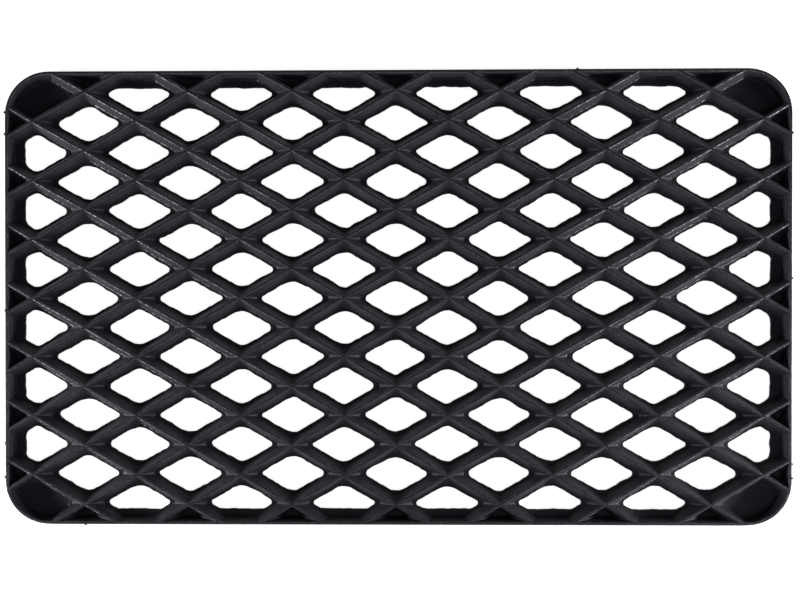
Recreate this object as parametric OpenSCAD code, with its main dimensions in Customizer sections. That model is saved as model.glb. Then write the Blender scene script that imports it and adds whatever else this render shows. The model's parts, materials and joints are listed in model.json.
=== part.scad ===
// Open lattice mat in moulded rubber, with an upstanding rim.
//
// Thin drafted ribs cross in a diamond pattern on a floor web. The web is open inside every
// diamond and closed in the four corner pans. Units are mm. The mat rests on z = 0 with its ribs
// up, its long side along X, and the origin is at the centre of its underside.
//
// The moulding is divided into named pieces that meet face to face: one for each rib, with the
// strip of web under it, four rim sides and four rim corners. At a crossing the rising rib keeps
// the lower half and the falling rib keeps the upper half, as in a cross-lap joint.

/* [Overall] */

// length along X over the foot of the rim
mat_l = 505; // [420:1:600]
// width along Y over the foot of the rim
mat_w = 293.6; // [250:0.2:340]
// height of the ribs and the rim above the resting face
mat_h = 10; // [8:0.5:14]

/* [Lattice] */

// crossings from the centre to each edge, which sets the number of ribs
cells = 7; // [6:1:8]
// distance from the outermost crossings to the rim's top edge along X
end_margin = 17.9; // [16:0.1:20]
// distance from the outermost crossings to the rim's top edge along Y
side_margin = 12.8; // [12:0.1:15]
// width of the floor strip under a rib, from opening to opening
strip_w = 11.2; // [9:0.1:13]
// radius of an opening's two sharp ends
end_r = 2.1; // [1:0.1:4]
// radius of an opening's two blunt sides
side_r = 9.5; // [4:0.1:11]
// distance from the rim's top edge to the clipped openings at the ends
clip_x = 10.1; // [8.5:0.1:11]
// distance from the rim's top edge to the clipped openings at the sides
clip_y = 8.7; // [8:0.1:11]

/* [Ribs] */

// thickness of the floor web
web_t = 2; // [1.5:0.1:3]
// width of a rib where it stands on the web
rib_foot_w = 8; // [6:0.1:9]
// width of a rib under its edge bevel
rib_neck_w = 2.3; // [1.6:0.1:3]
// width of the flat on top of a rib
rib_land_w = 1.5; // [0.8:0.1:1.6]
// height of the bevel along a rib's top edges
rib_bevel_h = 0.5; // [0.2:0.1:1]

/* [Rim] */

// radius of the rim's corners at its top outer edge
corner_r = 28; // [24:0.5:34]
// width of the flat on top of the rim
rim_land_w = 1.9; // [1.2:0.1:3]
// outward lean of the rim's outer wall from top to foot
outer_draft = 2; // [0.5:0.1:3]
// inward lean of the rim's inner wall from top to floor
inner_draft = 2.2; // [0.5:0.1:3]
// radius of the moulding vent stubs on the rim's outer edge
stub_r = 0.7; // [0.4:0.1:1]
// how far a vent stub stands out of the rim's top edge
stub_out = 0.9; // [0.3:0.1:1.5]

/* [Output] */

// piece to draw, or all of them

/* [Hidden] */

$fn = 64;
half_l = mat_l / 2 - outer_draft;
half_w = mat_w / 2 - outer_draft;
hx = (half_l - end_margin) / cells;
hy = (half_w - side_margin) / cells;
rib_angle = atan2(hy, hx);
lap_z = (web_t + mat_h) / 2;
rib_count = 2 * cells;
over = 1;

// half diagonals of an opening before its corners are rounded
open_a = hx - strip_w / 2 / sin(rib_angle);
open_b = hy - strip_w / 2 / cos(rib_angle);
end_steps = 4;
side_steps = 3;

// half width of a rib's flank at height z
function flank(z) = (rib_foot_w + (rib_neck_w - rib_foot_w) * (z - web_t)
    / (mat_h - rib_bevel_h - web_t)) / 2;

function reverse(list) = [for (i = [len(list) - 1 : -1 : 0]) list[i]];
function two_digits(i) = str(i < 10 ? "0" : "", i);
function rib_offset(i) = 2 * i - 1 - rib_count;

// one quarter of an opening's edge, from its sharp end on +X to its blunt side on +Y
quarter_edge = concat(
    [for (i = [0 : end_steps])
        let (t = (90 - rib_angle) * i / end_steps)
            [open_a - end_r / sin(rib_angle) + end_r * cos(t), end_r * sin(t)]],
    [for (i = [0 : side_steps])
        let (t = 90 - rib_angle + rib_angle * i / side_steps)
            [side_r * cos(t), open_b - side_r / cos(rib_angle) + side_r * sin(t)]]
);

// that quarter, mirrored by sx and sy, round the opening at lattice place (u, v)
function edge_at(u, v, sx, sy) = [for (p = quarter_edge) [u * hx + sx * p.x, v * hy + sy * p.y]];

// places along X where the rib with lattice offset k is crossed; slope is 1 rising, -1 falling
function crossings(k, slope) = [for (u = [-cells : cells]) if (abs(k + slope * u) <= cells) u];

rising_names = [for (i = [1 : rib_count]) str("rising_rib_", two_digits(i))];
falling_names = [for (i = [1 : rib_count]) str("falling_rib_", two_digits(i))];

// vent stub positions along each side of the rim
left_stubs = [-115, -93, -8, 105, 115];
right_stubs = [-115, -106, 12, 104];
front_stubs = [-199];
back_stubs = [115];

rubber = [0.13, 0.13, 0.14];

// area inside the line that clips the outermost openings
module clip_area() {
    square([2 * (half_l - clip_x), 2 * (half_w - clip_y)], center = true);
}

// strip of web that carries a rising rib, whole through its crossings
module rising_web(k) {
    us = crossings(k, 1);
    tiles = [us[0] - 1 : us[len(us) - 1]];
    upper = [for (t = tiles) each reverse(edge_at(t, t + k + 1, 1, -1))];
    lower = [for (t = tiles) each edge_at(t + 1, t + k, -1, 1)];
    linear_extrude(web_t)
        intersection() {
            polygon(concat(upper, reverse(lower)));
            clip_area();
        }
}

// one length of web under a falling rib, between two crossings
module falling_web(k, t) {
    linear_extrude(web_t)
        intersection() {
            polygon(concat(edge_at(t + 1, k - t, -1, -1), edge_at(t, k - t - 1, 1, 1)));
            clip_area();
        }
}

// straight bar of a given section, centred and turned along a rib
module bar(section, length, angle) {
    rotate([90, 0, angle - 90])
        linear_extrude(length, center = true)
            polygon(section);
}

rib_section = [
    [-rib_foot_w / 2, web_t], [rib_foot_w / 2, web_t],
    [rib_neck_w / 2, mat_h - rib_bevel_h], [rib_land_w / 2, mat_h],
    [-rib_land_w / 2, mat_h], [-rib_neck_w / 2, mat_h - rib_bevel_h]
];
lower_section = [
    [-rib_foot_w / 2, web_t - over], [rib_foot_w / 2, web_t - over],
    [rib_foot_w / 2, web_t], [flank(lap_z), lap_z],
    [-flank(lap_z), lap_z], [-rib_foot_w / 2, web_t]
];
upper_section = [
    [-flank(lap_z), lap_z], [flank(lap_z), lap_z],
    [rib_neck_w / 2, mat_h - rib_bevel_h], [rib_land_w / 2, mat_h],
    [rib_land_w / 2, mat_h + over], [-rib_land_w / 2, mat_h + over],
    [-rib_land_w / 2, mat_h], [-rib_neck_w / 2, mat_h - rib_bevel_h]
];

// space between the rim's inner walls, leaning with them, for one pair of walls
module well(reach, span) {
    rotate([90, 0, 0])
        linear_extrude(span, center = true)
            polygon([
                [-reach + inner_draft, web_t], [reach - inner_draft, web_t],
                [reach, mat_h], [-reach, mat_h]
            ]);
}

// upstanding part of a rib, cut to fit between the rim walls
module rib_bar(k, slope) {
    us = crossings(k, slope);
    middle = (us[0] + us[len(us) - 1]) / 2;
    length = (len(us) + 2) * norm([hx, hy]);
    difference() {
        intersection() {
            translate([middle * hx, (k + slope * middle) * hy, 0])
                bar(rib_section, length, slope * rib_angle);
            well(half_l - rim_land_w, mat_w);
            rotate(90)
                well(half_w - rim_land_w, mat_l);
        }
        if (abs(k) == 1) {
            corner_wall(1, 1);
            corner_wall(1, -1);
            corner_wall(-1, 1);
            corner_wall(-1, -1);
        }
    }
}

lap_l = 3 * rib_foot_w / sin(2 * rib_angle);

module rising_rib(i) {
    k = rib_offset(i);
    color(rubber) {
        rising_web(k);
        difference() {
            rib_bar(k, 1);
            for (u = crossings(k, 1))
                translate([u * hx, (k + u) * hy, 0])
                    bar(upper_section, lap_l, -rib_angle);
        }
    }
}

module falling_rib(i) {
    k = rib_offset(i);
    us = crossings(k, -1);
    color(rubber) {
        for (t = [us[0] - 1 : us[len(us) - 1]])
            falling_web(k, t);
        difference() {
            rib_bar(k, -1);
            for (u = us)
                translate([u * hx, (k - u) * hy, 0])
                    bar(lower_section, lap_l, rib_angle);
        }
    }
}

// section of a rim side, from the foot of its outer wall to the edge of the openings
function rim_section(clip) = [
    [outer_draft, 0], [0, mat_h], [-rim_land_w, mat_h],
    [-rim_land_w - inner_draft, web_t], [-clip, web_t], [-clip, 0]
];

// straight rim side standing at distance reach, with its vent stubs
module rim_side(reach, clip, length, turn, stubs) {
    color(rubber)
        rotate(turn) {
            translate([reach, 0, 0])
                rotate([90, 0, 0])
                    linear_extrude(length, center = true)
                        polygon(rim_section(clip));
            for (y = stubs)
                translate([reach - rim_land_w / 2, y, mat_h - 1.2 * stub_r])
                    rotate([0, 90, 0])
                        cylinder(r = stub_r, h = rim_land_w / 2 + stub_out);
        }
}

// curved wall of the corner on the side (sx, sy)
module corner_wall(sx, sy) {
    turn = sx > 0 ? (sy > 0 ? 0 : 270) : (sy > 0 ? 90 : 180);
    translate([sx * (half_l - corner_r), sy * (half_w - corner_r), 0])
        rotate(turn)
            rotate_extrude(angle = 90)
                polygon([
                    [corner_r + outer_draft, 0], [corner_r, mat_h], [corner_r - rim_land_w, mat_h],
                    [corner_r - rim_land_w - inner_draft, web_t],
                    [corner_r - rim_land_w - inner_draft, 0]
                ]);
}

// rim corner with the closed pan that fills the last diamond
module corner(sx, sy) {
    pan = [for (q = [[1, 1], [-1, 1], [-1, -1], [1, -1]])
        each q.x * q.y > 0
            ? edge_at(sx * cells, sy * cells, q.x, q.y)
            : reverse(edge_at(sx * cells, sy * cells, q.x, q.y))];
    color(rubber) {
        corner_wall(sx, sy);
        linear_extrude(web_t) {
            difference() {
                intersection() {
                    translate([sx * (half_l - corner_r), sy * (half_w - corner_r)])
                        circle(r = corner_r);
                    translate([sx * half_l, sy * half_w])
                        square(2 * corner_r, center = true);
                }
                clip_area();
            }
            intersection() {
                polygon(pan);
                clip_area();
            }
        }
    }
}

for (i = [1 : rib_count]) {
    rising_rib(i);
    falling_rib(i);
}
union() {  // rim_front
    rim_side(half_w, clip_y, 2 * (half_l - corner_r), -90, front_stubs);
}
union() {  // rim_back
    rim_side(half_w, clip_y, 2 * (half_l - corner_r), 90, -back_stubs);
}
union() {  // rim_left
    rim_side(half_l, clip_x, 2 * (half_w - corner_r), 180, -left_stubs);
}
union() {  // rim_right
    rim_side(half_l, clip_x, 2 * (half_w - corner_r), 0, right_stubs);
}
corner(-1, -1);  // corner_front_left
corner(1, -1);  // corner_front_right
corner(-1, 1);  // corner_back_left
corner(1, 1);  // corner_back_right
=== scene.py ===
import json
import math

import bpy
import numpy as np
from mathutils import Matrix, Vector, noise


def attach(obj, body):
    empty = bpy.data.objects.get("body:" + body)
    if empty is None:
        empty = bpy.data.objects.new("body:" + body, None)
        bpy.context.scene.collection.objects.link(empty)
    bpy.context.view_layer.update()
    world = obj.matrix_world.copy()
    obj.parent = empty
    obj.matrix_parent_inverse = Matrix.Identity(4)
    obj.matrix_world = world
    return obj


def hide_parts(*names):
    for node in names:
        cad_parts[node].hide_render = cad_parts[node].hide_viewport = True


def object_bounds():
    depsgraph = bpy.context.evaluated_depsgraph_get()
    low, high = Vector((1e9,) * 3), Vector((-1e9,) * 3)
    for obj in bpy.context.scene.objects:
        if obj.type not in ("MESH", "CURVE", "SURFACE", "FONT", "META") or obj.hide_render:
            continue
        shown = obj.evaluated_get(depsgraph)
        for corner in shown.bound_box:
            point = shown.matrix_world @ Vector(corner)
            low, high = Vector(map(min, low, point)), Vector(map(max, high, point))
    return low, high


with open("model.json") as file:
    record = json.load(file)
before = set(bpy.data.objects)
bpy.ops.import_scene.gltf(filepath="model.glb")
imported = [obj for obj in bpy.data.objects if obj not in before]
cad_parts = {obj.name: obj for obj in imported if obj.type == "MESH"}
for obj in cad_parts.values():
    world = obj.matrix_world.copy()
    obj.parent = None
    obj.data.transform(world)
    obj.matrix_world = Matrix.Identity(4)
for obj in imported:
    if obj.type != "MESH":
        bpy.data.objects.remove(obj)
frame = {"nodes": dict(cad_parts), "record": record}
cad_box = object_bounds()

# A moulded rubber ring mat: a lattice of rising and falling ribs inside a rim. Every rib, rim side and
# corner is a closed piece of its own, and stands for the CAD node of the same name.
# Sizes are in millimetres until a mesh is made.
MM = 0.001
record = frame["record"]
opening_box = {o["name"]: np.array(o["box_m"]) / MM for o in record["physics"]["openings"]}
half_l, half_w, mat_h = (c / MM for c in cad_box[1])
# half the pitch of the diamonds, along x and along y
hx = record["mounts"][0]["pos_m"][0] / MM
hy = opening_box["diamond_x0_yp2"][:, 1].mean() / 2

# ------------------------------------------------------------------------------------ plan
# the last openings, which the rim clips, lie this many half pitches from the middle
cells = 7
# how much wider the rim is at its foot than at its crest, on the outside
outer_draft = 2.0
# half the width of the rim's flat top, whose centre line bounds the lattice
land_half = 0.95
rim_x = half_l - outer_draft - land_half
rim_y = half_w - outer_draft - land_half
rim_r = 28.0 - land_half
# how far the openings stop short of the rim's top outer edge
clip_x, clip_y = 10.1, 8.7
web_t = 2.0
# aimed length of one face along a rib
STEP = 1.75
# faces round each corner of the rim
RIM_FACES = 24
# farther than any cell reaches from its middle
FAR = 99
# lengths this short are nothing: between two points, and off a cutting line
HAIR = 1e-6
ON_LINE = 1e-7

# one ring of points per row, from the crest down a flank, over the ledge, round the opening's
# edge and under: height, inset from a rib's centre line, inset from the rim's, and the corner radius
# as a share of the one at the foot, where 2 stands for the opening's own radius
RINGS = (
    (10.00, 0.00, 0.00, 0.00),
    (9.985, 0.52, 0.60, 0.02),
    (9.92, 0.74, 0.82, 0.04),
    (9.72, 0.86, 0.94, 0.06),
    (9.20, 1.06, 1.12, 0.10),
    (6.20, 2.38, 1.98, 0.55),
    (2.85, 3.72, 2.93, 1.00),
    (2.38, 3.94, 3.08, 1.00),
    (2.12, 4.16, 3.28, 1.00),
    (2.02, 4.55, 3.66, 1.00),
    (2.00, 5.20, 0.50, 2.00),
    (1.94, 5.50, 0.14, 2.00),
    (1.72, 5.64, 0.00, 2.00),
    (0.28, 5.66, 0.00, 2.00),
    (0.09, 5.54, 0.13, 2.00),
    (0.03, 5.26, 0.45, 2.00),
    (0.00, 0.00, 0.00, 0.00),
)
FOOT, LEDGE, LAST = 6, 10, len(RINGS) - 1
# cells with a closed floor draw in by this much per ring past the foot, and a corner pan once
POCKET_STEP = 0.06
PAN_STEP = 0.05
# corner radii at the foot of the flanks and round the opening, and how many faces they take
FILLETS = {"acute": (1.7, 2.1, 6), "obtuse": (5.0, 9.5, 8), "rim": (1.8, 4.4, 6)}
# the rim's outer side, from its crest outwards and down: distance out, height
OUTSIDE = (
    (0.55, 9.985),
    (0.80, 9.90),
    (0.96, 9.64),
    (1.45, 7.5),
    (1.95, 5.0),
    (2.45, 2.5),
    (2.92, 0.26),
    (2.78, 0.04),
)
# how much the hand-cut openings stray, and the shares by which corner radii differ from cell to cell
edge_stray = 0.3
foot_scatter, opening_scatter = 0.15, 0.45
# the most of a side that one corner may take
corner_reach = 0.4


def wave(x, y, z=0.0, size=1.0):
    """Smooth noise from about -1 to 1 that belongs to a place, and changes over the size given."""
    # the offsets move the points where this noise is always zero off the mat's middle
    return noise.noise(Vector((x / size + 31.7, y / size + 11.3, z / size + 5.9))) * 1.6


def outline(inset):
    """The rim's rounded rectangle moved inwards, counter-clockwise."""
    r = rim_r - inset
    pts = []
    for sx, sy, a0 in ((1, 1, 0), (-1, 1, 90), (-1, -1, 180), (1, -1, 270)):
        centre_x, centre_y = sx * (rim_x - rim_r), sy * (rim_y - rim_r)
        for i in range(RIM_FACES + 1):
            t = math.radians(a0 + 90 * i / RIM_FACES)
            pts.append(np.array([centre_x + r * math.cos(t), centre_y + r * math.sin(t)]))
    return pts


def cut(poly, a, n, label):
    """Keeps the part of a labelled convex polygon on the side of point a that n points to."""
    depths = [float((p - a) @ n) for p, _ in poly]
    if min(depths) > -ON_LINE:
        return poly
    kept = []
    for i, (p, name) in enumerate(poly):
        j = (i + 1) % len(poly)
        here, there = depths[i], depths[j]
        if here > -ON_LINE:
            kept.append((p, name))
        if (here > -ON_LINE) != (there > -ON_LINE):
            crossing = p + (poly[j][0] - p) * (here / (here - there))
            kept.append((crossing, label if here > -ON_LINE else name))
    return kept


def rib_name(kind, k):
    """The node of the rib on line k, counted in half pitches from the middle."""
    return f"{kind}_rib_{(k + 2 * cells + 1) // 2:02d}"


class Cell:
    """One diamond of the lattice, or what the rim leaves of it."""

    def __init__(self, u, v):
        self.u, self.v = u, v
        self.at = np.array([u * hx, v * hy])
        # each side's rib: the falling ones climb to the left, the rising ones to the right
        up, down = u + v, v - u
        self.ribs = (("falling", up + 1), ("rising", down + 1), ("falling", up - 1), ("rising", down - 1))
        steep = np.array([hy, hx]) / math.hypot(hx, hy)
        self.normals = (-steep, steep * (1, -1), steep, steep * (-1, 1))
        edge = max(abs(u), abs(v)) == cells + 1
        self.closed = edge or abs(u) == abs(v) == cells
        self.pan = self.closed and not edge
        self.rim = self.rim_piece()
        # one stray for each of the opening's sides; the factors only read the noise at scattered places
        self.stray = [edge_stray * wave(u * 3.1, v * 4.7, i * 2.3) for i in range(5)]

    def rim_piece(self):
        """The rim side or corner that bounds the cell, or would be the nearest."""
        u, v = self.u, self.v
        if self.pan:
            return f"corner_{'back' if v > 0 else 'front'}_{'right' if u > 0 else 'left'}"
        if abs(u) >= cells and abs(v) < cells:
            return "rim_right" if u > 0 else "rim_left"
        return "rim_back" if v > 0 else "rim_front"

    def insets(self, k):
        """How far ring k lies inside the four ribs' centre lines and inside the rim's."""
        _, rib, rim, _ = RINGS[k]
        if self.closed and not self.pan and FOOT < k < LAST:
            _, rib, rim, _ = RINGS[FOOT]
            drawn_in = POCKET_STEP * (k - FOOT)
            return [rib + drawn_in] * 4, rim + drawn_in
        if self.closed and LEDGE <= k < LAST:
            _, rib, rim, _ = RINGS[LEDGE - 1]
            return [rib + PAN_STEP] * 4, rim + PAN_STEP
        if LEDGE <= k < LAST:
            rim = (clip_x if abs(self.u) == cells else clip_y) - land_half - rim
            return [rib + d for d in self.stray[:4]], rim + self.stray[4]
        return [rib] * 4, rim

    def height(self, k):
        """Ring k's height. A closed floor's rings pass straight down through the web."""
        if self.closed and LEDGE <= k < LAST:
            return web_t - (web_t - RINGS[LAST - 1][0]) * (k - LEDGE) / (LAST - 1 - LEDGE)
        return RINGS[k][0] * mat_h / RINGS[0][0]

    def polygon(self, k):
        """Ring k before its corners are rounded: points with the name of the side that starts there."""
        poly = [(self.at + FAR * np.array(way), "") for way in ((1, 0), (0, 1), (-1, 0), (0, -1))]
        ribs, rim = self.insets(k)
        for (kind, line), n, inset in zip(self.ribs, self.normals, ribs):
            foot = self.at - n * (hx * hy / math.hypot(hx, hy))
            poly = cut(poly, foot + n * inset, n, rib_name(kind, line))
        if max(abs(self.u), abs(self.v)) < cells:
            return poly
        ring = outline(rim)
        for i, a in enumerate(ring):
            b = ring[(i + 1) % len(ring)]
            length = math.dist(a, b)
            if length > HAIR:
                poly = cut(poly, a, np.array([a[1] - b[1], b[0] - a[0]]) / length, self.rim)
        return poly

    def sides(self, k):
        """Ring k as (name, points) for each side, counter-clockwise, corners not yet rounded."""
        poly = self.polygon(k)
        start = next(i for i in range(len(poly)) if poly[i][1] != poly[i - 1][1])
        poly = poly[start:] + poly[:start]
        sides = []
        for i, (p, name) in enumerate(poly):
            if not sides or sides[-1][0] != name:
                sides.append((name, [p]))
            else:
                sides[-1][1].append(p)
        for i, (name, pts) in enumerate(sides):
            pts.append(sides[(i + 1) % len(sides)][1][0])
        return sides


def walk(pts, distance):
    """The point at a distance along a line of points."""
    for a, b in zip(pts, pts[1:]):
        step = math.dist(a, b)
        if distance <= step and step > 0:
            return a + (b - a) * (distance / step)
        distance -= step
    return pts[-1]


def length_of(pts):
    """The length of a line of points."""
    return sum(math.dist(a, b) for a, b in zip(pts, pts[1:]))


def corner_kind(before, after, phi):
    """Which row of FILLETS a corner of angle phi between two named sides takes."""
    if "_rib_" in before and "_rib_" in after:
        return "acute" if phi < math.pi / 2 else "obtuse"
    return "rim"


def round_corner(before, after, r, turn, trim, faces):
    """An arc of radius r from the end of one side to the start of the next."""
    d0 = (before[-1] - before[-2]) / math.dist(before[-1], before[-2])
    a = after[0] - d0 * trim
    centre = a + np.array([-d0[1], d0[0]]) * r
    t0 = math.atan2(a[1] - centre[1], a[0] - centre[0])
    angles = [t0 + turn * j / faces for j in range(faces + 1)]
    arc = [centre + r * np.array([math.cos(t), math.sin(t)]) for t in angles]
    # a curved side pulls the arc's ends a hair off; spread that along the arc
    first = walk(before, length_of(before) - trim) - arc[0]
    last = walk(after, trim) - arc[-1]
    return [p + first * (1 - j / faces) + last * (j / faces) for j, p in enumerate(arc)]


def round_ring(cell, k, order, counts):
    """Corner arcs and side points of ring k, with the same counts on every ring."""
    named = dict(cell.sides(k))
    sides = [named[name] for name in order]
    n = len(sides)
    lengths = [length_of(pts) for pts in sides]
    share = RINGS[k][3]
    scatter = opening_scatter if share > 1 else foot_scatter
    trims, arcs = [], []
    for i, after in enumerate(sides):
        before = sides[i - 1]
        d0 = (before[-1] - before[-2]) / math.dist(before[-1], before[-2])
        d1 = (after[1] - after[0]) / math.dist(after[1], after[0])
        turn = math.atan2(d0[0] * d1[1] - d0[1] * d1[0], float(d0 @ d1))
        phi = math.pi - turn
        foot_r, opening_r, faces = FILLETS[corner_kind(order[i - 1], order[i], phi)]
        r = foot_r * share if share <= 1 or cell.closed else opening_r
        # the factors only read the noise at scattered places
        r *= 1 + scatter * wave(cell.u * 5.3, cell.v * 3.9, i * 1.7)
        r = min(r, corner_reach * min(lengths[i - 1], lengths[i]) * math.tan(phi / 2))
        trim = r / math.tan(phi / 2)
        trims.append(trim)
        if r < HAIR:
            arcs.append([after[0]] * (faces + 1))
        else:
            arcs.append(round_corner(before, after, r, turn, trim, faces))
    runs = []
    for i, pts in enumerate(sides):
        a, b = trims[i], lengths[i] - trims[(i + 1) % n]
        runs.append([walk(pts, a + (b - a) * j / counts[i]) for j in range(1, counts[i])])
    return arcs, runs


# ------------------------------------------------------------------------------------ pieces
# points are one point when they agree to a micrometre; the shift keeps round sizes off the rounding edge
KEY_SCALE, KEY_SHIFT = 1000, 0.137
# decimals, in millimetres, by which crest points of neighbouring cells are matched
JUNCTION_DECIMALS = 3
# neighbouring points of a pocket's floor that are closer than this are one
FLOOR_GAP = 1e-3


class Shell:
    """Points and faces of one piece. Inner faces lie inside the rubber, against a neighbour."""

    def __init__(self):
        self.index = {}
        self.points = []
        self.faces = []
        self.inner = []

    def add(self, p):
        key = tuple(round(float(c) * KEY_SCALE + KEY_SHIFT) for c in p)
        if key not in self.index:
            self.index[key] = len(self.points)
            self.points.append(tuple(float(c) for c in p))
        return self.index[key]

    def face(self, pts, inner=False):
        ids = []
        for p in pts:
            i = self.add(p)
            if i not in ids:
                ids.append(i)
        if len(ids) > 2:
            self.faces.append(ids)
            self.inner.append(inner)

    def strips(self, rows, inner=False):
        """Bands of faces between one row of points and the next."""
        for upper, lower in zip(rows, rows[1:]):
            for t in range(len(upper) - 1):
                self.face([upper[t], upper[t + 1], lower[t + 1], lower[t]], inner)


shells = {name: Shell() for name in frame["nodes"]}


def out_from_rim(p):
    """The direction outwards from the rim's centre line at a point of it."""
    cx, cy = rim_x - rim_r, rim_y - rim_r
    d = np.array([p[0] - math.copysign(cx, p[0]), p[1] - math.copysign(cy, p[1])])
    if abs(p[0]) <= cx:
        d[0] = 0
    if abs(p[1]) <= cy:
        d[1] = 0
    return d / np.hypot(*d)


def outer_profile(p):
    """The rim's outer side below a point of its centre line."""
    n = out_from_rim(p)
    return [(p[0] + n[0] * d, p[1] + n[1] * d, z * mat_h / RINGS[0][0]) for d, z in OUTSIDE]


def add_side(cell, name, rows):
    """One side of a cell, from crest to underside, in the piece that it belongs to."""
    shell = shells[name]
    if "_rib_" in name:
        shell.strips(rows)
        if cell.closed:
            shells[cell.rim].strips(rows[LAST - 1 : LEDGE - 1 : -1], True)
        return
    if cell.closed:
        shell.strips(rows[: LEDGE + 1])
        shell.strips(rows[LAST - 1 :])
    else:
        shell.strips(rows)
    columns = [[under, *outer_profile(crest)[::-1], crest] for crest, under in zip(rows[0], rows[LAST])]
    shell.strips([list(row) for row in zip(*columns)])


# at each point where crests meet: piece name -> (start or end of a side, profile there, cell)
junctions = {}


def add_cell(cell):
    """The flanks, ledge and opening of one cell, or its closed floor."""
    base = cell.sides(0)
    order = [name for name, _ in base]
    counts = [max(2, round(length_of(pts) / STEP)) for _, pts in base]
    rings = [round_ring(cell, k, order, counts) for k in range(LAST + 1)]
    heights = [cell.height(k) for k in range(LAST + 1)]
    for i, name in enumerate(order):
        j = (i + 1) % len(order)
        rows = []
        for (arcs, runs), z in zip(rings, heights):
            line = arcs[i][len(arcs[i]) // 2 :] + runs[i] + arcs[j][: len(arcs[j]) // 2 + 1]
            rows.append([(*p, z) for p in line])
        add_side(cell, name, rows)
        for where, column in (("start", 0), ("end", -1)):
            profile = [row[column] for row in rows]
            # adding 0.0 makes -0.0 the same key as 0.0
            key = tuple(round(float(c), JUNCTION_DECIMALS) + 0.0 for c in profile[0][:2])
            junctions.setdefault(key, {}).setdefault(name, []).append((where, profile, cell))
    if cell.closed:
        # the floor of a pocket, above and below, belongs to the rim
        for k, flip in ((LEDGE, False), (LAST - 1, True)):
            loop = [(*p, heights[k]) for arc, run in zip(*rings[k]) for p in arc + run]
            loop = [p for i, p in enumerate(loop) if math.dist(p, loop[i - 1]) > FLOOR_GAP]
            shells[cell.rim].face(loop[::-1] if flip else loop)


def side_of(name, at, cell):
    """Which side of a rib a cell lies on."""
    slope = hy / hx if name.startswith("rising") else -hy / hx
    return (cell.at[1] - at[1]) > slope * (cell.at[0] - at[0])


def bridge(shell, a, b):
    """Closes a piece between two corner profiles, where its neighbour joins it."""
    for k in range(1, LAST - 1):
        shell.face([a[k], b[k], b[k + 1], a[k + 1]], True)
    shell.face([a[0], b[1], a[1]], True)
    shell.face([a[LAST - 1], b[LAST - 1], a[LAST]], True)


def cap_rim(shell, where, profile):
    """Closes a rim piece across its whole section, where the next rim piece begins."""
    inner = profile
    outer = [profile[LAST]] + outer_profile(profile[0])[::-1] + [profile[0]]
    if where == "end":
        inner = inner[::-1]
        outer = outer[::-1]
    shell.face(inner, True)
    shell.face(outer, True)


def close_ends(name, ends):
    """Closes one piece at one junction: ribs cross or end there, and rim pieces meet."""
    shell = shells[name]
    begin = [e for e in ends if e[0] == "start"]
    finish = [e for e in ends if e[0] == "end"]
    at = ends[0][1][0]
    if "_rib_" in name and len(ends) == 4:
        for _, profile, cell in finish:
            same_side = (e for e in begin if side_of(name, at, e[2]) == side_of(name, at, cell))
            bridge(shell, profile, next(same_side)[1])
    elif len(ends) == 2:
        bridge(shell, finish[0][1], begin[0][1])
    else:
        cap_rim(shell, *ends[0][:2])


for u in range(-cells - 1, cells + 2):
    for v in range(-cells - 1, cells + 2):
        if (u + v) % 2 == 0 and not abs(u) == abs(v) == cells + 1:
            add_cell(Cell(u, v))
for uses in junctions.values():
    for name, ends in uses.items():
        close_ends(name, ends)


# ------------------------------------------------------------------------------------ vent nubs
# where the mould's vents left a nub at the top edge of the rim, along each side
VENTS = {
    "rim_left": (-115, -93, -8, 105, 119),
    "rim_right": (-115, -106, 12, 104),
    "rim_front": (-199,),
    "rim_back": (115,),
}
vent_z, vent_length = 9.1, 0.9
# half a nub's width along the rim and half its height
vent_across, vent_up = 0.875, 0.56
vent_sides = 16
# how much nubs differ in length, and how ragged they are
vent_scatter, vent_rough = 0.25, 0.12
# rings of a nub: share of its length, share of its size. The first is sunk in the wall, in millimetres
VENT_RINGS = ((-1.2, 1.0), (0.15, 1.0), (0.45, 0.86), (0.72, 0.7), (0.9, 0.42))


def add_vent(shell, at, out):
    """A short torn-off stub: rings of a rod that narrows outwards, with a ragged end."""
    along = np.array([-out[1], out[0], 0.0])
    up = np.array([0.0, 0.0, 1.0])
    stretch = 1 + vent_scatter * wave(*at[:2])
    rows = []
    for d, size in VENT_RINGS:
        centre = at + out * d * stretch * (vent_length if d > 0 else 1.0)
        ring = []
        for i in range(vent_sides):
            t = 2 * math.pi * i / vent_sides
            r = size * (1 + vent_rough * wave(at[0] + 9 * i, at[1], d))
            across, rise = vent_across * r * math.cos(t), vent_up * r * math.sin(t)
            ring.append(tuple(centre + along * across + up * rise))
        rows.append(ring + ring[:1])
    shell.strips(rows)
    shell.face(rows[-1][:-1])
    shell.face(rows[0][-2::-1])


for name, places in VENTS.items():
    upright = name in ("rim_left", "rim_right")
    sign = 1.0 if name in ("rim_right", "rim_back") else -1.0
    # the wall's outer face at the nubs' height
    wall = sign * ((rim_x if upright else rim_y) + land_half + outer_draft * (1 - vent_z / mat_h))
    for c in places:
        if upright:
            add_vent(shells[name], np.array([wall, c, vent_z]), np.array([sign, 0.0, 0.0]))
        else:
            add_vent(shells[name], np.array([c, wall, vent_z]), np.array([0.0, sign, 0.0]))


# ------------------------------------------------------------------------------------ unevenness
# how far whole ribs wander, and over what length; the rim and its neighbourhood stay put
rib_wander, wander_size = 0.32, 46
still_zone, free_zone = 3.0, 20.0
# how rough the openings' trimmed edges are, up to this height, and the cast flanks above it
trim_rough, trim_top, cast_rough = 0.3, 2.05, 0.05
# the trimming's long and short strokes, and the grain of the cast flanks
stroke, nick, cast_size = 8, 3.4, 5
nick_share = 0.7
# the roughness fades in over this height, so the underside stays flat, and over these lengths from the rim
flat_under, trim_fade, cast_fade = 0.03, 4.0, 1.5
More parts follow.
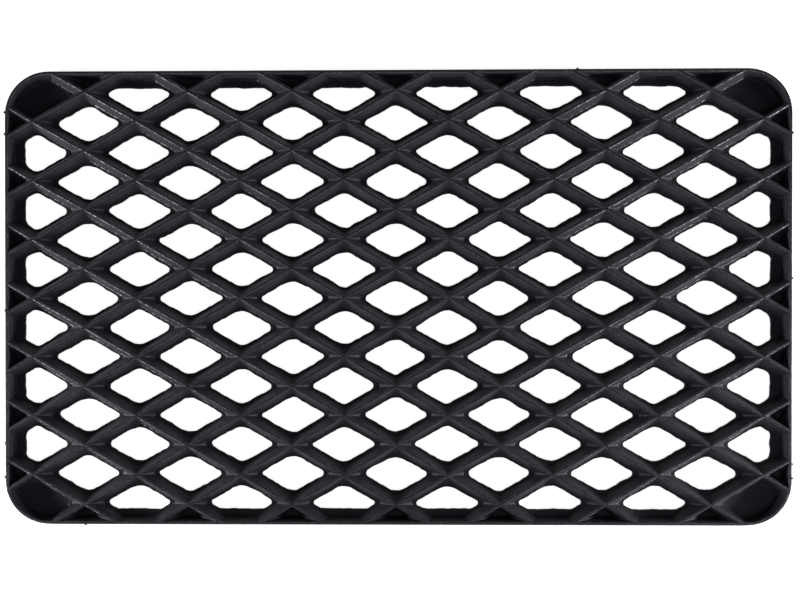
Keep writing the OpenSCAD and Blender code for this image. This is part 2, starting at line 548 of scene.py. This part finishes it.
# the crest sinks a little here and there, and the rim's outer top edge carries a torn line of flash
crest_from, crest_pits, crest_sag, flash_tears = 9.0, 0.05, 0.03, 0.12
pit_size, sag_size, tear_size = 4, 30, 2.2


def uneven(p):
    """Moves a point as rubber that was moulded and cut by hand moves: the same for every piece."""
    x, y, z = p
    to_rim = min(rim_x - abs(x), rim_y - abs(y))
    free = min(1.0, max(0.0, (to_rim - still_zone) / free_zone))
    # the numbers added to x and y only read the noise elsewhere, so that the directions differ
    dx = rib_wander * wave(x, y, 0, wander_size) * free
    dy = rib_wander * wave(x + 400, y, 0, wander_size) * free
    if z < trim_top:
        rough = trim_rough * min(1.0, z / flat_under) * min(1.0, max(0.0, to_rim) / trim_fade)
        dx += rough * (wave(x, y + 200, 0, stroke) + nick_share * wave(x, y + 200, 0, nick))
        dy += rough * (wave(x + 200, y, 0, stroke) + nick_share * wave(x + 200, y, 0, nick))
    else:
        rough = cast_rough * min(1.0, max(0.0, to_rim + 0.5) / cast_fade)
        dx += rough * wave(x, y, z, cast_size)
        dy += rough * wave(x + 90, y, z, cast_size)
    dz = 0.0
    if z > crest_from:
        dz = -crest_pits * abs(wave(x, y + 77, 0, pit_size)) - crest_sag * abs(wave(x, y, 0, sag_size))
        if to_rim < 0.0:
            dz -= flash_tears * abs(wave(x, y, 0, tear_size))
    return (x + dx, y + dy, min(mat_h, z + dz))


# a face with more corners than this is a pocket's whole floor
FLOOR_CORNERS = 12


def read(items, what, kind=float, width=1):
    """One value, or one vector, of every item of a mesh."""
    values = np.empty(len(items) * width, dtype=kind)
    items.foreach_get(what, values)
    return values


def make_meshes():
    """Every piece's mesh, with smooth normals taken from the whole skin, so that no seam shows."""
    places = {}
    made = []
    for name, shell in shells.items():
        where = np.array([places.setdefault(key, len(places)) for key in shell.index])
        mesh = bpy.data.meshes.new(name + "_rubber")
        mesh.from_pydata([tuple(c * MM for c in uneven(p)) for p in shell.points], [], shell.faces)
        mesh.update()
        sizes = read(mesh.polygons, "loop_total", np.int32)
        areas = np.repeat(read(mesh.polygons, "area"), sizes)
        flat = np.repeat(read(mesh.polygons, "normal", width=3).reshape(-1, 3), sizes, axis=0)
        corners = where[read(mesh.loops, "vertex_index", np.int32)]
        # a face inside the rubber, or a pocket's whole floor, keeps its own flat normal
        own = np.repeat(np.array(shell.inner) | (sizes > FLOOR_CORNERS), sizes)
        made.append((name, mesh, corners, own, flat, areas))
    total = np.zeros((len(places), 3))
    for _, _, at, own, flat, areas in made:
        np.add.at(total, at[~own], (flat * areas[:, None])[~own])
    for _, mesh, at, own, flat, _ in made:
        length = np.linalg.norm(total[at], axis=1, keepdims=True)
        smooth = ~own & (length[:, 0] > 0)
        normals = np.where(smooth[:, None], total[at] / np.maximum(length, 1e-20), flat)
        mesh.polygons.foreach_set("use_smooth", [True] * len(mesh.polygons))
        mesh.normals_split_custom_set(normals.tolist())
    return [(name, mesh) for name, mesh, *_ in made]


rubber_pieces = []
for name, mesh in make_meshes():
    piece = bpy.data.objects.new(name + "_rubber", mesh)
    bpy.context.scene.collection.objects.link(piece)
    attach(piece, "root")
    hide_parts(name)
    rubber_pieces.append(piece)


# ------------------------------------------------------------------------------------ materials
class Nodes:
    """Short calls for a material's node tree."""

    def __init__(self, name):
        self.material = bpy.data.materials.new(name)
        self.material.use_nodes = True
        self.tree = self.material.node_tree
        self.shader = self.tree.nodes["Principled BSDF"]
        self.place = self.tree.nodes.new("ShaderNodeTexCoord").outputs["Object"]

    def link(self, a, b):
        self.tree.links.new(a, b)

    def add(self, kind, inputs=(), **settings):
        node = self.tree.nodes.new(kind)
        for key, value in settings.items():
            setattr(node, key, value)
        for key, value in dict(inputs).items():
            if isinstance(value, bpy.types.NodeSocket):
                self.link(value, node.inputs[key])
            else:
                node.inputs[key].default_value = value
        return node

    def set(self, **values):
        """Sets the shader's own sockets; an underscore stands for a space."""
        for key, value in values.items():
            self.shader.inputs[key.replace("_", " ")].default_value = value

    def xyz(self, vector):
        return self.add("ShaderNodeSeparateXYZ", {"Vector": vector}).outputs

    def noise(self, scale, detail=3.0, rough=0.55, place=None):
        inputs = {"Vector": place or self.place, "Scale": scale, "Detail": detail, "Roughness": rough}
        return self.add("ShaderNodeTexNoise", inputs).outputs["Fac"]

    def ramp(self, value, first, middle, last):
        """A colour ramp through three stops of position and colour."""
        node = self.add("ShaderNodeValToRGB", {"Fac": value})
        elements = node.color_ramp.elements
        for element, (at, colour) in zip(elements, (first, last)):
            element.position = at
            element.color = (*colour, 1)
        elements.new(middle[0]).color = (*middle[1], 1)
        return node.outputs["Color"]

    def span(self, value, lo, hi, to_lo=0.0, to_hi=1.0):
        """Turns lo..hi of a value into to_lo..to_hi, and holds the ends beyond."""
        inputs = {"Value": value, "From Min": lo, "From Max": hi, "To Min": to_lo, "To Max": to_hi}
        return self.add("ShaderNodeMapRange", inputs).outputs["Result"]

    def band(self, value, edges):
        """1 between the inner two of four edges, 0 beyond the outer two. The edges are in millimetres."""
        rise_from, rise_to, fall_from, fall_to = (e * MM for e in edges)
        rise = self.span(value, rise_from, rise_to)
        fall = self.span(value, fall_from, fall_to, 1.0, 0.0)
        return self.times(rise, fall)

    def math(self, operation, a, b):
        return self.add("ShaderNodeMath", {0: a, 1: b}, operation=operation).outputs[0]

    def times(self, a, b):
        return self.math("MULTIPLY", a, b)

    def mix(self, fac, a, b):
        node = self.add("ShaderNodeMix", {0: fac}, data_type="RGBA")
        for socket, value in ((node.inputs[6], a), (node.inputs[7], b)):
            if isinstance(value, bpy.types.NodeSocket):
                self.link(value, socket)
            else:
                socket.default_value = (*value, 1)
        return node.outputs[2]

    def bump(self, height, distance, strength, normal=None):
        inputs = {"Height": height, "Distance": distance, "Strength": strength}
        if normal is not None:
            inputs["Normal"] = normal
        return self.add("ShaderNodeBump", inputs).outputs["Normal"]


def grey(v, blue=1.25):
    """A grey of brightness v with a little less red, and this much more blue."""
    return (v * 0.97, v, v * blue)


# heights between which the crest's edges, and the line where a flank meets the ledge, are painted paler: a
# painted highlight, on the crest partly also rubbed wear
CREST_WEAR_AND_HIGHLIGHT = (9.1, 9.4, 9.92, 9.98)
FOOT_HIGHLIGHT = (2.03, 2.12, 2.6, 3.4)


def make_rubber():
    """Black rubber: cloudy, dusty, partly worn on its edges, with painted highlights on its edges and
    painted light on the flanks that face the lamps, the mould's fine lines and a grain.
    """
    m = Nodes("black_rubber")
    place = m.xyz(m.place)
    facing = m.xyz(m.add("ShaderNodeNewGeometry").outputs["Normal"])
    # cloudy colour, as carbon-black rubber with a faint bloom, and a fine mottle
    cloud = m.noise(38.0, 5.0, 0.6)
    mottle = m.noise(1300.0, 3.0, 0.65)
    base = m.ramp(cloud, (0.30, grey(0.0100)), (0.52, grey(0.0140)), (0.74, grey(0.0195)))
    base = m.mix(m.span(mottle, 0.35, 0.7, 0.0, 0.75), base, grey(0.026))
    # dust that settled in specks
    dust = m.noise(1450.0, 2.0, 0.5)
    patch = m.noise(60.0, 2.0, 0.5)
    speck = m.times(m.span(dust, 0.70, 0.76), m.span(patch, 0.45, 0.65, 0.0, 0.9))
    base = m.mix(speck, base, grey(0.16, 1.05))
    # the crest's edges are painted faintly paler, partly as rubbed wear and partly as a painted highlight;
    # the flank's foot is painted paler as a painted highlight. Both are smoother everywhere
    crest = m.band(place["Z"], CREST_WEAR_AND_HIGHLIGHT)
    foot = m.band(place["Z"], FOOT_HIGHLIGHT)
    edges = m.math("MAXIMUM", crest, foot)
    faint = m.span(m.noise(520.0, 3.0, 0.65), 0.44, 0.60, 0.1)
    base = m.mix(m.times(crest, faint), base, grey(0.075, 1.1))
    base = m.mix(m.times(foot, faint), base, grey(0.038, 1.1))
    # painted light: flanks that face the front and the nearer end, where the low lamps rake, are painted
    # paler in patches, with pale painted glint dashes
    outward = m.span(m.times(place["X"], facing["X"]), 0.02, 0.06)
    painted_lit_flanks = m.times(outward, m.span(facing["Y"], -0.50, -0.20, 1.0, 0.0))
    painted_light_patches = m.span(m.noise(900.0, 3.0, 0.7), 0.48, 0.66, 0.1, 0.9)
    base = m.mix(m.times(painted_lit_flanks, painted_light_patches), base, grey(0.045, 1.12))
    # painted glints: pale dashes along the crest and foot of the flanks that face the lamps
    dash = m.span(m.noise(640.0, 2.0, 0.6), 0.50, 0.56)
    painted_glint_dashes = m.times(dash, m.span(m.noise(45.0, 2.0), 0.38, 0.58, 0.3))
    base = m.mix(m.times(painted_lit_flanks, m.times(edges, painted_glint_dashes)), base, grey(0.62, 1.03))
    m.link(base, m.shader.inputs["Base Color"])
    # the skin is half matt, smoother where it is rubbed and rougher under dust
    skin = m.span(m.noise(120.0, 4.0, 0.6), 0.25, 0.75, 0.42, 0.62)
    polish = m.times(m.times(edges, faint), -0.26)
    roughness = m.math("ADD", m.math("ADD", skin, polish), m.times(speck, 0.3))
    m.link(roughness, m.shader.inputs["Roughness"])
    m.set(Specular_IOR_Level=0.35)
    m.set(Sheen_Weight=0.03, Sheen_Roughness=0.45, Sheen_Tint=(0.8, 0.88, 1.0, 1))
    # faint lines of the mould's milling down the flanks, then the grain of the skin
    stretched = m.add("ShaderNodeMapping", {"Vector": m.place, "Scale": (1.0, 1.0, 0.1)}).outputs["Vector"]
    normal = m.bump(m.noise(760.0, 2.0, 0.5, stretched), 0.0006, 0.5)
    normal = m.bump(m.noise(2300.0, 3.0, 0.6), 0.0003, 0.55, normal)
    m.link(normal, m.shader.inputs["Normal"])
    return m.material


def make_floor():
    """A white sheet that glows as a light table does."""
    m = Nodes("white_table")
    tone = m.span(m.noise(3.0, 2.0), 0.3, 0.7, 0.93, 0.97)
    colour = m.add("ShaderNodeCombineColor", {0: tone, 1: tone, 2: tone}).outputs["Color"]
    m.link(colour, m.shader.inputs["Base Color"])
    m.set(Roughness=0.9, Specular_IOR_Level=0.1)
    m.set(Emission_Color=(1.0, 1.0, 1.0, 1), Emission_Strength=0.9)
    return m.material


rubber = make_rubber()
for piece in rubber_pieces:
    piece.data.materials.append(rubber)
for node in frame["nodes"].values():
    node.data.materials.clear()
    node.data.materials.append(rubber)

# ------------------------------------------------------------------------------------ stage
# in metres from here on: half the table's length, and a gap below the mat that keeps the faces apart
reach = 12.0
table_z = -0.0004
corners = [(x * reach, y * reach, table_z) for x, y in ((-1, -1), (1, -1), (1, 1), (-1, 1))]
floor_mesh = bpy.data.meshes.new("table")
floor_mesh.from_pydata(corners, [], [(0, 1, 2, 3)])
floor_mesh.materials.append(make_floor())
table = bpy.data.objects.new("table", floor_mesh)
bpy.context.scene.collection.objects.link(table)
# the glow isn't mirrored in the rubber
table.visible_glossy = False

# colours of the lamps
NEAR_WHITE, COOL, SKY = (0.97, 0.98, 1.0), (0.95, 0.97, 1.0), (0.78, 0.87, 1.0)


def add_light(name, at, target, size, power, colour):
    """A soft rectangular lamp of this size and power, turned to a target."""
    data = bpy.data.lights.new(name, "AREA")
    data.shape = "RECTANGLE"
    data.size, data.size_y = size
    data.energy = power
    data.color = colour
    lamp = bpy.data.objects.new(name, data)
    lamp.location = at
    lamp.rotation_euler = (Vector(target) - Vector(at)).to_track_quat("-Z", "Y").to_euler()
    bpy.context.scene.collection.objects.link(lamp)


middle = (0, 0, 0)
add_light("front", (0.1, -1.35, 0.42), middle, (2.2, 0.5), 5.8, NEAR_WHITE)
add_light("side", (1.35, 0.2, 0.5), middle, (0.8, 0.6), 2.2, COOL)
add_light("overhead", (0.25, -0.75, 1.3), middle, (0.9, 0.8), 2.8, SKY)
# a low lamp off each end rakes the flanks that face it
for side in (-1, 1):
    add_light("low", (side * 0.75, -0.16, 0.15), (side * 0.2, 0.05, 0), (0.35, 0.08), 5.0, NEAR_WHITE)


def make_world():
    """Dim light that fades from the horizon up. Seen directly, it is as pale as the table."""
    world = bpy.data.worlds.new("studio")
    world.use_nodes = True
    new = world.node_tree.nodes.new
    link = world.node_tree.links.new
    background = world.node_tree.nodes["Background"]
    background.inputs["Color"].default_value = (0.93, 0.96, 1.0, 1)
    direction = new("ShaderNodeSeparateXYZ")
    link(new("ShaderNodeTexCoord").outputs["Generated"], direction.inputs["Vector"])
    fade = new("ShaderNodeMapRange")
    link(direction.outputs["Z"], fade.inputs["Value"])
    for socket, value in (("From Min", 0.01), ("From Max", 0.12), ("To Min", 0.40), ("To Max", 0.06)):
        fade.inputs[socket].default_value = value
    seen = new("ShaderNodeMix")
    link(new("ShaderNodeLightPath").outputs["Is Camera Ray"], seen.inputs[0])
    link(fade.outputs["Result"], seen.inputs[2])
    seen.inputs[3].default_value = 1.05
    link(seen.outputs[0], background.inputs["Strength"])
    return world


bpy.context.scene.world = make_world()
bpy.context.scene.view_settings.view_transform = "Standard"
bpy.context.scene.view_settings.look = "None"
bpy.context.scene.view_settings.exposure = 0.0

# ------------------------------------------------------------------------------------ camera
# almost straight above the mat, with a slight turn and an off-centre frame, as in the photograph
camera_data = bpy.data.cameras.new("camera")
camera_data.sensor_width = 36.0
camera_data.lens = 41.625
camera_data.shift_x = 0.05125
camera_data.shift_y = 0.0675
camera_data.clip_start = 0.01
camera = bpy.data.objects.new("camera", camera_data)
camera.location = (-0.01495, -0.03289, 0.59918)
camera.rotation_euler = tuple(math.radians(a) for a in (-0.301, 0.85, -0.021))
bpy.context.scene.collection.objects.link(camera)
bpy.context.scene.camera = camera

bpy.context.view_layer.update()
